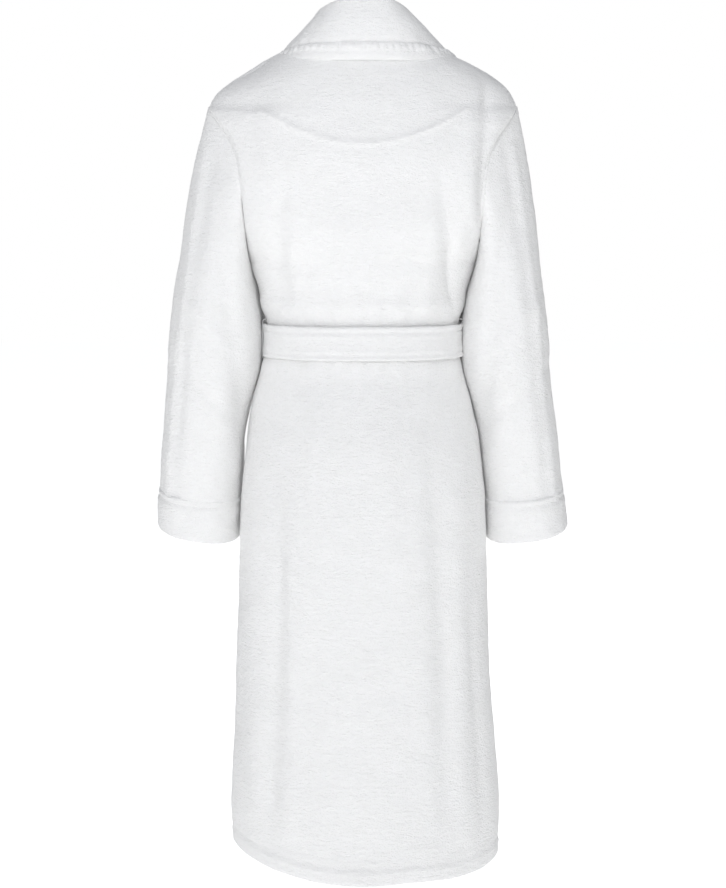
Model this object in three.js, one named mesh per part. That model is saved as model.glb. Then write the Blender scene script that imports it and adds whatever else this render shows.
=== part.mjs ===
// A long terry bathrobe with a shawl collar, standing as it hangs on a wearer's shoulders.
// Millimetres, +Z up. The back faces +Y, the front faces -Y, and the wearer's left is +X.
// The origin is in the middle of the neck opening, at the height of the nape.
import * as THREE from 'three';

// Cloth
const CLOTH = 4;
const LAYER_GAP = 0.8;
const LAYER = CLOTH + LAYER_GAP;
const SEAM_GAP = 0.8;

// Heights of the robe's landmarks, down from the nape
const NECK_Z = 8;
const TIP_Z = -75;
const ARMPIT_Z = -290;
const BELT_TOP = -374;
const BELT_BOTTOM = -420;
const ELBOW_Z = -430;
const CUFF_TOP = -624;
const CUFF_BOTTOM = -674;
const FLAP_TOP = -770;
const HEM_Z = -1118;

// The armhole is an oval, a little pointed, between the shoulder tip and the armpit
const ARMHOLE_MID = (TIP_Z + ARMPIT_Z) / 2;
const ARMHOLE_HALF_HEIGHT = (TIP_Z - ARMPIT_Z) / 2;
const ARMHOLE_HALF_DEPTH = 72;
const ARMHOLE_POINT = 1.5;
const ARMHOLE_STEPS = 20;

// The fronts overlap past the middle by this much on each side
const WRAP = 48;
// The right front lies over the left lapel above the belt, and over bare cloth below it
const COLLAR_CLOTH = 5;
const LAPEL_GAP = 2.6;
const RIGHT_LIFT_HIGH = LAPEL_GAP + COLLAR_CLOTH + LAPEL_GAP + CLOTH;
const RIGHT_LIFT_LOW = 1.5 * LAYER;

const DEG = Math.PI / 180;
const LEFT = 1;
const RIGHT = -1;
const BACK = 1;
const FRONT = -1;

const TERRY = new THREE.Color(0xf1f1f3);
const TAPE = new THREE.Color(0xf6f6f4);
const SATIN = new THREE.Color(0xfafaf8);

// ---------------------------------------------------------------- curves

const clamp01 = value => Math.min(1, Math.max(0, value));

const lerp = (a, b, t) => a + (b - a) * t;

function smooth(low, high, value) {
  const t = clamp01((value - low) / (high - low));
  return t * t * (3 - 2 * t);
}

// A smooth curve without overshoot through [height, value] stations, listed from the top down
function profile(stations) {
  const secant = i => (stations[i + 1][1] - stations[i][1]) / (stations[i + 1][0] - stations[i][0]);
  const last = stations.length - 1;
  function slope(i) {
    if (i === 0) return secant(0);
    if (i === last) return secant(last - 1);
    const above = secant(i - 1);
    const below = secant(i);
    return above * below <= 0 ? 0 : (2 * above * below) / (above + below);
  }
  return z => {
    let i = 0;
    while (i < last - 1 && z < stations[i + 1][0]) i += 1;
    const step = stations[i + 1][0] - stations[i][0];
    const t = clamp01((z - stations[i][0]) / step);
    const bend = t * t * (3 - 2 * t);
    const start = t * (1 - t) * (1 - t) * step * slope(i);
    const end = t * t * (t - 1) * step * slope(i + 1);
    return lerp(stations[i][1], stations[i + 1][1], bend) + start + end;
  };
}

// ---------------------------------------------------------------- body surface

// Half width of the robe: along the shoulder, down the armhole seam, then down the side seam
const halfWidth = profile([
  [NECK_Z, 100], [-18, 158], [-41, 195], [-62, 215], [TIP_Z, 223],
  [-92, 205], [-118, 184], [-156, 173], [-227, 165], [ARMPIT_Z, 159],
  [-335, 141], [-366, 131], [-434, 131], [-489, 151], [-560, 166],
  [-640, 174], [FLAP_TOP, 177], [HEM_Z, 189],
]);
const backDepth = profile([
  [NECK_Z, 60], [-30, 82], [-81, 98], [-156, 108], [-227, 108], [-305, 100], [-366, 89],
  [-434, 91], [-500, 106], [-560, 119], [-640, 126], [-785, 130], [-950, 135], [HEM_Z, 142],
]);
const frontDepth = profile([
  [NECK_Z, 52], [-30, 72], [-81, 85], [-156, 100], [-227, 110], [-305, 105], [-366, 94],
  [-434, 94], [-500, 102], [-560, 109], [-640, 116], [-785, 125], [-950, 134], [HEM_Z, 142],
]);

function armholeDepth(z) {
  const height = clamp01(Math.abs(z - ARMHOLE_MID) / ARMHOLE_HALF_HEIGHT);
  return ARMHOLE_HALF_DEPTH * (1 - height * height) ** (ARMHOLE_POINT / 2);
}

// A point of the robe's outer face. turn runs from -90 degrees at the wearer's right edge,
// through 0 in the middle, to 90 at the wearer's left edge.
function onBody(side, turn, z) {
  const depth = side === BACK ? backDepth(z) : frontDepth(z);
  const edge = armholeDepth(z);
  return new THREE.Vector3(
    halfWidth(z) * Math.sin(turn),
    side * (edge + (depth - edge) * Math.cos(turn)),
    z,
  );
}

// The same point moved out along the cloth's normal, and kept on its own side of the side seams
function offBody(side, turn, z, out) {
  const across = onBody(side, turn + 0.01, z).sub(onBody(side, turn - 0.01, z));
  const down = onBody(side, turn, z - 0.5).sub(onBody(side, turn, z + 0.5));
  const normal = across.cross(down).normalize();
  const point = onBody(side, turn, z);
  if (normal.x * point.x + normal.y * point.y < 0) normal.negate();
  point.addScaledVector(normal, out);
  point.y = side * Math.max(side * point.y, SEAM_GAP / 2);
  return point;
}

// The turn at which a front or the back reaches a given x
const turnAt = (x, z) => Math.asin(Math.max(-1, Math.min(1, x / halfWidth(z))));

// The front edge of the left front, which crosses the middle and ends under the right front
const leftEdge = profile([
  [NECK_Z, 75], [-60, 70], [-120, 52], [-200, 8], [-300, -34], [-366, -WRAP], [HEM_Z, -WRAP],
]);

// How far the right front stands off the body where it crosses the left one
function rightLift(x, z) {
  const lift = z > -434 ? RIGHT_LIFT_HIGH : lerp(RIGHT_LIFT_HIGH, RIGHT_LIFT_LOW, smooth(-434, -500, z));
  return lift * smooth(-90, -8, x - leftEdge(z)) * smooth(-100, -170, z);
}

// ---------------------------------------------------------------- solids

// Joins an outer and an inner face, both lists of rows, into one closed solid
function shell(outer, inner, closed = false) {
  const rows = outer.length;
  const columns = outer[0].length;
  const positions = [];
  for (const face of [outer, inner]) {
    for (const row of face) row.forEach(point => positions.push(point.x, point.y, point.z));
  }
  const out = (i, j) => i * columns + (j % columns);
  const inn = (i, j) => rows * columns + out(i, j);
  const triangles = [];
  const quad = (a, b, c, d) => triangles.push(a, b, c, a, c, d);
  const spans = closed ? columns : columns - 1;
  for (let j = 0; j < spans; j += 1) {
    for (let i = 0; i < rows - 1; i += 1) {
      quad(out(i, j), out(i + 1, j), out(i + 1, j + 1), out(i, j + 1));
      quad(inn(i, j), inn(i, j + 1), inn(i + 1, j + 1), inn(i + 1, j));
    }
    quad(out(0, j), out(0, j + 1), inn(0, j + 1), inn(0, j));
    quad(out(rows - 1, j), inn(rows - 1, j), inn(rows - 1, j + 1), out(rows - 1, j + 1));
  }
  for (let i = 0; i < rows - 1 && !closed; i += 1) {
    quad(out(i, 0), inn(i, 0), inn(i + 1, 0), out(i + 1, 0));
    quad(out(i, columns - 1), out(i + 1, columns - 1), inn(i + 1, columns - 1), inn(i, columns - 1));
  }
  return facingOut(positions, triangles);
}

// Turns every face over if the solid came out inside out
function facingOut(positions, triangles) {
  const corner = i => new THREE.Vector3().fromArray(positions, 3 * triangles[i]);
  let volume = 0;
  for (let i = 0; i < triangles.length; i += 3) {
    volume += corner(i).dot(corner(i + 1).cross(corner(i + 2)));
  }
  if (volume < 0) triangles.reverse();
  const geometry = new THREE.BufferGeometry();
  geometry.setAttribute('position', new THREE.Float32BufferAttribute(positions, 3));
  geometry.setIndex(triangles);
  geometry.computeVertexNormals();
  return geometry;
}

const grid = (rows, columns, point) => rows.map(r => columns.map(c => point(r, c)));

const steps = (count, from = 0, to = 1) =>
  Array.from({ length: count + 1 }, (_, i) => lerp(from, to, i / count));

// A layer of cloth that follows the body: turns(z) gives its two side limits at each height
function bodyPanel(side, heights, columns, turns, lift = () => 0, thickness = CLOTH) {
  const face = out => grid(heights, steps(columns), (z, t) => {
    const [from, to] = turns(z);
    const turn = lerp(from, to, t);
    return offBody(side, turn, z, lift(halfWidth(z) * Math.sin(turn), z, t) + out);
  });
  return shell(face(0), face(-thickness));
}

const garment = new THREE.Group();

function add(name, geometry, color = TERRY, roughness = 0.95) {
  const material = new THREE.MeshStandardMaterial({ color, roughness, metalness: 0 });
  const mesh = new THREE.Mesh(geometry, material);
  mesh.name = name;
  garment.add(mesh);
  return mesh;
}

const sideName = side => (side === LEFT ? 'left' : 'right');

// ---------------------------------------------------------------- back and fronts

const shoulderHeights = [NECK_Z, -18, -41, -62];
const armholeHeights = steps(ARMHOLE_STEPS / 2, 0, Math.PI)
  .map(angle => ARMHOLE_MID + ARMHOLE_HALF_HEIGHT * Math.cos(angle));
const waistHeights = [-335, -366, -400, -434];
const hipHeights = [-489, -560, -640, FLAP_TOP];
const skirtHeights = [FLAP_TOP, -900, -1010, HEM_Z];
const upperHeights = [...shoulderHeights, ...armholeHeights, ...waistHeights, ...hipHeights];

const SIDE_TURN = 90 * DEG;

function backPanel() {
  const heights = [...upperHeights, ...skirtHeights.slice(1)];
  return bodyPanel(BACK, heights, 18, () => [-SIDE_TURN, SIDE_TURN]);
}

// A front from its side seam to its own front edge
function frontPanel(side, heights) {
  const lift = side === RIGHT ? rightLift : () => 0;
  const turns = z => [side * SIDE_TURN, turnAt(side * leftEdge(z), z)];
  return bodyPanel(FRONT, heights, side === RIGHT ? 13 : 10, turns, lift);
}

// The lower part of a front, which swings open below the belt, with its own top edge just under
function frontFlap(side) {
  const [, ...lower] = skirtHeights;
  return frontPanel(side, [FLAP_TOP - SEAM_GAP, ...lower]);
}

add('back_panel', backPanel());
for (const side of [LEFT, RIGHT]) {
  add(`${sideName(side)}_front`, frontPanel(side, upperHeights));
  add(`${sideName(side)}_front_skirt`, frontFlap(side));
}

// ---------------------------------------------------------------- sleeves

// Centre and half sizes of the sleeve's level rings from the elbow down
const sleeveX = profile([[ELBOW_Z, 210], [-540, 226], [CUFF_BOTTOM, 236]]);
const sleeveY = profile([[ELBOW_Z, -8], [-540, -20], [CUFF_BOTTOM, -36]]);
const sleeveHalfWidth = profile([[ELBOW_Z, 61], [-540, 59], [CUFF_BOTTOM, 57]]);
const sleeveHalfDepth = profile([[ELBOW_Z, 76], [-540, 75], [CUFF_BOTTOM, 72]]);
const UPPER_SLEEVE_BULGE = 9;
const SLEEVE_GAP = 1.2;

const ringAngles = steps(ARMHOLE_STEPS, 0, 2 * Math.PI).slice(0, -1);

function levelRing(side, z, out) {
  return ringAngles.map(angle => new THREE.Vector3(
    side * (sleeveX(z) + (sleeveHalfWidth(z) + out) * Math.cos(angle)),
    sleeveY(z) + (sleeveHalfDepth(z) + out) * Math.sin(angle),
    z,
  ));
}

function armholeRing(side, out) {
  return ringAngles.map(angle => {
    const z = ARMHOLE_MID + ARMHOLE_HALF_HEIGHT * Math.cos(angle);
    return new THREE.Vector3(
      side * (halfWidth(z) + SLEEVE_GAP),
      Math.sign(Math.sin(angle)) * armholeDepth(z) + out * Math.sin(angle),
      z + out * Math.cos(angle),
    );
  });
}

// The sleeve from its armhole to the elbow, where it turns level and meets the forearm
function upperSleeve(side) {
  const face = out => steps(6).map(t => {
    const top = armholeRing(side, out);
    const bottom = levelRing(side, ELBOW_Z, out);
    const bulge = side * UPPER_SLEEVE_BULGE * Math.sin(Math.PI * t);
    return top.map((point, i) => {
      const moved = point.clone().lerp(bottom[i], t);
      moved.x += bulge * Math.max(0, Math.cos(ringAngles[i]));
      return moved;
    });
  });
  return shell(face(0), face(-CLOTH), true);
}

function sleeveTube(side, from, to, count, out = 0, thickness = CLOTH) {
  const face = extra => steps(count, from, to).map(z => levelRing(side, z, extra));
  return shell(face(out), face(out - thickness), true);
}

for (const side of [LEFT, RIGHT]) {
  add(`${sideName(side)}_upper_sleeve`, upperSleeve(side));
  add(`${sideName(side)}_forearm_sleeve`, sleeveTube(side, ELBOW_Z - SEAM_GAP, CUFF_TOP, 4));
  add(`${sideName(side)}_cuff`, sleeveTube(side, CUFF_TOP - SEAM_GAP, CUFF_BOTTOM, 2, 1, 5));
}

// ---------------------------------------------------------------- shawl collar

const COLLAR_SEAM = 0.74;
const LAPEL_BOTTOM = -362;

const lapelWidth = profile([[-20, 62], [-90, 78], [-190, 84], [-290, 66], [LAPEL_BOTTOM, 40]]);

// How high each lapel lies: the right one has the left lapel and its own front beneath it
const lapelOut = (side, x, z) => {
  const stack = side === RIGHT ? rightLift(side * x, z) : 0;
  return stack + LAPEL_GAP + COLLAR_CLOTH;
};

// A point of a lapel: across runs from 0 at its fold on the front edge to 1 at its outer edge
function onLapel(side, z, across, drop = 0) {
  const x = leftEdge(z) + lapelWidth(z) * across;
  const lower = z - drop * across;
  const out = lapelOut(side, x, lower);
  return offBody(FRONT, side * turnAt(x, lower), lower, out);
}

// Fold and outer edge of the collar around the neck, from the left lapel to the middle of the back
const NECK_FOLD = [[80, -58, 2], [79, -22, 34], [74, 6, 54], [60, 34, 67], [34, 54, 74], [0, 61, 75]];
const NECK_EDGE = [[141, -46, -6], [143, -8, 4], [134, 26, 2], [108, 54, -1], [62, 74, -3], [0, 82, -3]];
const NECK_BULGE = 5;

// The collar's stations from the foot of one lapel to the middle of the back: each gives the
// point at a share of the way from the fold to the outer edge
function collarStations(side) {
  const lapel = steps(14, LAPEL_BOTTOM, -44)
    .map(z => across => onLapel(side, z, across, 10));
  const neck = NECK_FOLD.map((fold, i) => across => {
    const inner = new THREE.Vector3(...fold);
    const outer = new THREE.Vector3(...NECK_EDGE[i]);
    const point = inner.lerp(outer, across);
    const swell = NECK_BULGE * Math.sin(Math.PI * across);
    const away = new THREE.Vector3(point.x, point.y, 30).normalize();
    point.addScaledVector(away, swell);
    point.x *= side;
    return point;
  });
  return [...lapel, ...neck];
}

const collarLine = [...collarStations(LEFT), ...collarStations(RIGHT).reverse().slice(1)];

// A strip of the collar between two shares of its width. The cloth's inner face is moved in along
// the collar's own normal.
function collarStrip(from, to, count) {
  const last = collarLine.length - 1;
  const normalAt = (i, share) => {
    const along = collarLine[Math.min(i + 1, last)](share).sub(collarLine[Math.max(i - 1, 0)](share));
    const across = collarLine[i](share + 0.02).sub(collarLine[i](share - 0.02));
    return across.cross(along).normalize();
  };
  const stations = collarLine.map((station, i) => i);
  const face = out => grid(stations, steps(count, from, to), (i, share) =>
    collarLine[i](share).addScaledVector(normalAt(i, share), out));
  return shell(face(0), face(-COLLAR_CLOTH));
}

// The standing part behind the neck, inside the fold
const STAND_BASE = [[84, 4, 16], [80, 26, 14], [62, 42, 13], [34, 52, 13], [0, 55, 13]];
const STAND_TOP = [[68, 6, 44], [64, 20, 53], [50, 36, 60], [28, 48, 66], [0, 53, 67]];
const STAND_CLOTH = 4;

function collarStand() {
  const half = STAND_BASE.map((base, i) => [base, STAND_TOP[i]]);
  const mirrored = half.slice(0, -1).reverse().map(pair => pair.map(([x, y, z]) => [-x, y, z]));
  const face = inward => [...half, ...mirrored].map(pair => steps(3).map(t => {
    const [base, top] = pair.map(values => new THREE.Vector3(...values));
    const point = base.lerp(top, t);
    const towards = new THREE.Vector3(-point.x, -point.y - 20, 0).normalize();
    return point.addScaledVector(towards, inward);
  }));
  return shell(face(0), face(STAND_CLOTH));
}

add('shawl_collar', collarStrip(0, COLLAR_SEAM, 4));
add('collar_edge_band', collarStrip(COLLAR_SEAM + 0.015, 1, 2));
add('collar_stand', collarStand());

// ---------------------------------------------------------------- inside the neck

const FACING_HALF_WIDTH = 145;
const FACING_DROP = 123;
const facingTop = x => -6 - 56 * (x / FACING_HALF_WIDTH) ** 2;
const facingBottom = x => -FACING_DROP + 48 * (x / FACING_HALF_WIDTH) ** 2;

// The half-moon facing sewn inside the back, below the collar
function backNeckFacing() {
  const columns = steps(12, -FACING_HALF_WIDTH, FACING_HALF_WIDTH);
  const face = out => columns.map(x => steps(4).map(t => {
    const z = lerp(facingTop(x), facingBottom(x), t);
    return offBody(BACK, turnAt(x, z), z, out);
  }));
  return shell(face(-LAYER - 1), face(-LAYER - 4));
}

// A thin label that follows the inside of the back
function neckLabel() {
  const depth = -LAYER - 4 - LAYER_GAP;
  const face = out => steps(4, -26, 26).map(x => steps(2, -62, -94).map(z =>
    offBody(BACK, turnAt(x, z), z, out)));
  return shell(face(depth), face(depth - 0.8));
}

// The hanging loop: a tape bent into a U whose ends are sewn in at the neck seam
const LOOP_HALF = 32;
const LOOP_DROP = 34;
const LOOP_TAPE = 2.4;
const LOOP_TAPE_WIDTH = 9;
const LOOP_BACK_Y = 52.5;
const LOOP_TOP_Z = 6;

function hangingLoop() {
  const outline = new THREE.Shape();
  const corner = 6;
  const inset = LOOP_TAPE;
  outline.moveTo(-LOOP_HALF, LOOP_TOP_Z);
  outline.lineTo(-LOOP_HALF, LOOP_TOP_Z - LOOP_DROP + corner);
  outline.lineTo(-LOOP_HALF + corner, LOOP_TOP_Z - LOOP_DROP);
  outline.lineTo(LOOP_HALF - corner, LOOP_TOP_Z - LOOP_DROP);
  outline.lineTo(LOOP_HALF, LOOP_TOP_Z - LOOP_DROP + corner);
  outline.lineTo(LOOP_HALF, LOOP_TOP_Z);
  outline.lineTo(LOOP_HALF - inset, LOOP_TOP_Z);
  outline.lineTo(LOOP_HALF - inset, LOOP_TOP_Z - LOOP_DROP + corner);
  outline.lineTo(LOOP_HALF - corner, LOOP_TOP_Z - LOOP_DROP + inset);
  outline.lineTo(-LOOP_HALF + corner, LOOP_TOP_Z - LOOP_DROP + inset);
  outline.lineTo(-LOOP_HALF + inset, LOOP_TOP_Z - LOOP_DROP + corner);
  outline.lineTo(-LOOP_HALF + inset, LOOP_TOP_Z);
  const geometry = new THREE.ExtrudeGeometry(outline, { depth: LOOP_TAPE_WIDTH, bevelEnabled: false });
  geometry.rotateX(90 * DEG);
  return geometry;
}

add('back_neck_facing', backNeckFacing());
add('neck_label', neckLabel(), SATIN, 0.5);
add('hanging_loop', hangingLoop(), TAPE, 0.8).position.set(0, LOOP_BACK_Y, 0);

// A blank care label hangs from the left side seam
const CARE_LABEL = { x: 150.4, top: -520, height: 58, width: 30, thickness: 0.8 };

function careLabel() {
  return new THREE.BoxGeometry(CARE_LABEL.thickness, CARE_LABEL.width, CARE_LABEL.height);
}

add('care_label', careLabel(), SATIN, 0.5)
  .position.set(CARE_LABEL.x, 0, CARE_LABEL.top - CARE_LABEL.height / 2);

// ---------------------------------------------------------------- belt

const BELT_CLOTH = 5;
const BELT_SIDE_OUT = LAYER_GAP + BELT_CLOTH;
const BELT_FRONT_OUT = RIGHT_LIFT_HIGH + LAYER_GAP + BELT_SIDE_OUT;
const KNOT = { width: 58, height: 50, depth: 28 };
const TAIL = { width: 44, thickness: 5, length: 330, spread: 4, tilt: 3 * DEG };

// The belt runs round the waist just off the cloth, and over both fronts
function beltRing() {
  const half = steps(20, -SIDE_TURN, SIDE_TURN);
  const back = half.map(turn => [BACK, turn]);
  const front = half.slice(1, -1).reverse().map(turn => [FRONT, turn]);
  const outAt = (side, turn) => (side === BACK
    ? BELT_SIDE_OUT
    : lerp(BELT_FRONT_OUT, BELT_SIDE_OUT, smooth(55 * DEG, 80 * DEG, Math.abs(turn))));
  const face = extra => grid([BELT_TOP, BELT_BOTTOM], [...back, ...front], (z, [side, turn]) =>
    offBody(side, turn, z, outAt(side, turn) + extra));
  return shell(face(0), face(-BELT_CLOTH), true);
}

const BELT_FRONT_Y = -(frontDepth(BELT_TOP) + BELT_FRONT_OUT);
const KNOT_Y = BELT_FRONT_Y - SEAM_GAP - KNOT.depth / 2;
const TAIL_Y = KNOT_Y - KNOT.depth / 2 + 1 + TAIL.thickness / 2;

// The knot is a rounded lump of two crossed turns of the belt
function beltKnot() {
  const rounded = new THREE.Shape();
  const w = KNOT.width / 2;
  const h = KNOT.height / 2;
  const corner = 12;
  rounded.moveTo(-w + corner, -h);
  rounded.lineTo(w - corner, -h);
  rounded.quadraticCurveTo(w, -h, w, -h + corner);
  rounded.lineTo(w, h - corner);
  rounded.quadraticCurveTo(w, h, w - corner, h);
  rounded.lineTo(-w + corner, h);
  rounded.quadraticCurveTo(-w, h, -w, h - corner);
  rounded.lineTo(-w, -h + corner);
  rounded.quadraticCurveTo(-w, -h, -w + corner, -h);
  const options = { depth: KNOT.depth, bevelEnabled: false, curveSegments: 3 };
  const geometry = new THREE.ExtrudeGeometry(rounded, options);
  geometry.rotateX(90 * DEG);
  geometry.translate(0, KNOT.depth / 2, 0);
  return geometry;
}

const BELT_MID = (BELT_TOP + BELT_BOTTOM) / 2;
const TAIL_TOP = BELT_MID - KNOT.height / 2 - SEAM_GAP;

// A flat tail hanging from under the knot
function beltTail() {
  const geometry = new THREE.BoxGeometry(TAIL.width, TAIL.thickness, TAIL.length, 1, 1, 4);
  geometry.translate(0, 0, -TAIL.length / 2);
  return geometry;
}

// A loop of tape that holds the belt at a side seam: an upright strip with a foot at each end
function beltLoop(side) {
  const reach = 3;
  const tape = 2;
  const inner = halfWidth(BELT_TOP) + LAYER_GAP;
  const outer = inner + BELT_CLOTH + LAYER_GAP + tape;
  const top = BELT_TOP + reach + tape;
  const bottom = BELT_BOTTOM - reach - tape;
  const outline = new THREE.Shape();
  outline.moveTo(inner, top);
  outline.lineTo(outer, top);
  outline.lineTo(outer, bottom);
  outline.lineTo(inner, bottom);
  outline.lineTo(inner, bottom + tape);
  outline.lineTo(outer - tape, bottom + tape);
  outline.lineTo(outer - tape, top - tape);
  outline.lineTo(inner, top - tape);
  const width = 12;
  const geometry = new THREE.ExtrudeGeometry(outline, { depth: width, bevelEnabled: false });
  geometry.rotateX(90 * DEG);
  geometry.translate(0, width / 2, 0);
  if (side === RIGHT) geometry.rotateZ(180 * DEG);
  return geometry;
}

add('belt', beltRing());
add('belt_knot', beltKnot()).position.set(0, KNOT_Y, BELT_MID);
for (const side of [LEFT, RIGHT]) {
  const tail = add(`${sideName(side)}_belt_tail`, beltTail());
  tail.position.set(side * (TAIL.spread + TAIL.width / 2), TAIL_Y, TAIL_TOP);
  tail.rotation.y = -side * TAIL.tilt;
  add(`${sideName(side)}_belt_loop`, beltLoop(side), TAPE, 0.8);
}

// ---------------------------------------------------------------- pockets

const POCKET = { inner: 50, outer: 140, top: -525, bottom: -675, band: 26, pouch: 24 };

// A patch pocket, sewn down at its sides and bottom and standing open at its top
function pocketPanel(side, top, bottom, rows, extra) {
  const turns = z => [side * turnAt(POCKET.inner, z), side * turnAt(POCKET.outer, z)];
  const lift = (x, z, t) => {
    const base = side === RIGHT ? rightLift(x, z) : 0;
    const open = smooth(POCKET.bottom, POCKET.bottom + 60, z);
    return base + LAYER + extra + POCKET.pouch * open * Math.sin(Math.PI * t) ** 0.7;
  };
  return bodyPanel(FRONT, steps(rows, top, bottom), 8, turns, lift);
}

for (const side of [LEFT, RIGHT]) {
  const seam = POCKET.top - POCKET.band;
  add(`${sideName(side)}_pocket`, pocketPanel(side, seam - SEAM_GAP, POCKET.bottom, 5, 0));
  add(`${sideName(side)}_pocket_band`, pocketPanel(side, POCKET.top, seam, 1, 1));
}

export default garment;
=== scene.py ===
"""A long white terry bathrobe in its worn shape, seen from behind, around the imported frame.

Sizes are in millimetres until a mesh is made, and the frame's in metres. +Z is up, the back faces
+Y, the front faces -Y and the wearer's left is +X. The cloth follows the frame's landmarks.
"""
import math
from itertools import product

import bmesh
import bpy
import numpy as np
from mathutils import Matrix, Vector


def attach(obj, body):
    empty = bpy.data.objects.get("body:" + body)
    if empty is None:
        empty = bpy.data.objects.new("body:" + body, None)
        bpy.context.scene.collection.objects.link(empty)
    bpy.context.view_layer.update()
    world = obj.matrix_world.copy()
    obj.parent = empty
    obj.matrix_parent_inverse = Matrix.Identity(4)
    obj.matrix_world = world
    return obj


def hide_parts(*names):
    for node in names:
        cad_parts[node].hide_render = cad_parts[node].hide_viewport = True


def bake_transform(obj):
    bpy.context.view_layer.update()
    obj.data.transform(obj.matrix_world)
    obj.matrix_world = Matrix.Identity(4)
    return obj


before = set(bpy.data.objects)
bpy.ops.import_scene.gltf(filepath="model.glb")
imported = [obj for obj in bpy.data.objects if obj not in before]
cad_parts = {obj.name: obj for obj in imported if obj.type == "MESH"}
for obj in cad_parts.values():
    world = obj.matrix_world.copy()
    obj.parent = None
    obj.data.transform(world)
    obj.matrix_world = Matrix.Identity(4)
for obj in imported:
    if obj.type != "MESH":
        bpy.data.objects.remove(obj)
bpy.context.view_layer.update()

MM = 0.001
LEFT, RIGHT = 1, -1
BACK, FRONT = 1, -1
SIDES = {LEFT: "left", RIGHT: "right"}

# ---- camera, light and floor

CAMERA_DISTANCE = 3.1
CAMERA_HEIGHT = -0.2
CAMERA_PITCH = math.radians(4.6)
CAMERA_SHIFT = -0.08
CAMERA_LENS = 88.9
SENSOR_WIDTH = 36
FLOOR_HEIGHT = -1.32
FLOOR_GLOW = 0.85
FLOOR_RADIUS = 14
FLOOR_COLOUR = (0.9, 0.9, 0.9, 1)
WHITE = (1, 1, 1, 1)
WORLD_LIGHT = 0.17
WORLD_COLOUR = (0.93, 0.96, 1.0, 1)
LIGHT_COLOUR = (0.957, 0.963, 1.0)
LIGHT_AIM = Vector((0, 0, -0.5))
# name, place, size in metres, power in watts
LIGHTS = (
    ("key", (0.4, 3.3, 1.6), 1.6, 52),
    ("top", (0.1, 1.6, 3.2), 1.8, 26),
    ("fill", (-0.8, 3.3, 0.1), 1.8, 3),
    ("front_fill", (0.3, -3.8, 1.1), 1.6, 60),
)


def new_object(name, data):
    made = bpy.data.objects.new(name, data)
    bpy.context.scene.collection.objects.link(made)
    return made


def make_camera():
    data = bpy.data.cameras.new("camera")
    data.sensor_width = SENSOR_WIDTH
    data.lens = CAMERA_LENS
    data.shift_y = CAMERA_SHIFT
    camera = new_object("camera", data)
    camera.location = (0, CAMERA_DISTANCE, CAMERA_HEIGHT)
    camera.rotation_euler = (math.pi / 2 - CAMERA_PITCH, 0, math.pi)
    bpy.context.scene.camera = camera


def area_light(name, place, size, power):
    """A square soft light that faces the middle of the robe."""
    data = bpy.data.lights.new(name, "AREA")
    data.size = size
    data.energy = power
    data.color = LIGHT_COLOUR
    lamp = new_object(name, data)
    lamp.location = place
    lamp.rotation_euler = (LIGHT_AIM - Vector(place)).to_track_quat("-Z", "Y").to_euler()


def make_world():
    """A white backdrop all round, whose light is softer than its look."""
    world = bpy.data.worlds.new("studio")
    bpy.context.scene.world = world
    world.use_nodes = True
    tree = world.node_tree
    light = tree.nodes["Background"]
    set_inputs(light, {"Color": WORLD_COLOUR, "Strength": WORLD_LIGHT})
    seen = add_node(tree, "ShaderNodeBackground")
    set_inputs(seen, {"Color": WHITE})
    path = add_node(tree, "ShaderNodeLightPath")
    mix = add_node(tree, "ShaderNodeMixShader")
    tree.links.new(path.outputs["Is Camera Ray"], mix.inputs["Fac"])
    tree.links.new(light.outputs["Background"], mix.inputs[1])
    tree.links.new(seen.outputs["Background"], mix.inputs[2])
    tree.links.new(mix.outputs["Shader"], tree.nodes["World Output"].inputs["Surface"])


def make_floor():
    bpy.ops.mesh.primitive_circle_add(vertices=96, radius=FLOOR_RADIUS, fill_type="NGON")
    floor = bpy.context.object
    floor.name = "floor"
    floor.location.z = FLOOR_HEIGHT
    paint, _, shader = new_material("floor_paint")
    set_inputs(shader, {"Base Color": FLOOR_COLOUR, "Roughness": 0.9, "Specular IOR Level": 0.1,
                        "Emission Color": WHITE, "Emission Strength": FLOOR_GLOW})
    floor.data.materials.append(paint)


def make_studio():
    make_world()
    make_floor()
    for light in LIGHTS:
        area_light(*light)
    bpy.context.scene.view_settings.view_transform = "Standard"


# ---- curves and noise

def smooth(low, high, value):
    t = np.clip((value - low) / (high - low), 0, 1)
    return t * t * (3 - 2 * t)


def bell(value, width):
    return np.exp(-((value / width) ** 2))


def hermite(t, start, start_slope, end, end_slope):
    """A cubic curve from start to end as t goes from 0 to 1, with slopes per unit of t."""
    return ((2 * t ** 3 - 3 * t ** 2 + 1) * start + (t ** 3 - 2 * t ** 2 + t) * start_slope
            + (3 * t ** 2 - 2 * t ** 3) * end + (t ** 3 - t ** 2) * end_slope)


def profile(stations):
    """A smooth curve without overshoot through (height, value) stations, from the top down."""
    drop = -np.array([s[0] for s in stations], float)
    value = np.array([s[1] for s in stations], float)
    step = np.diff(drop)
    secant = np.diff(value) / step
    slope = np.zeros(len(value))
    slope[0], slope[-1] = secant[0], secant[-1]
    above, below = secant[:-1], secant[1:]
    same = above * below > 0
    slope[1:-1][same] = 2 * above[same] * below[same] / (above[same] + below[same])

    def at(z):
        d = np.clip(-np.asarray(z, float), drop[0], drop[-1])
        i = np.clip(np.searchsorted(drop, d, side="right") - 1, 0, len(step) - 1)
        t = (d - drop[i]) / step[i]
        return hermite(t, value[i], step[i] * slope[i], value[i + 1], step[i] * slope[i + 1])

    return at


LATTICE_SIDE = 32
LATTICE_SEED = 7
LATTICE = np.random.default_rng(LATTICE_SEED).uniform(-1, 1, (LATTICE_SIDE,) * 3)


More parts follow.
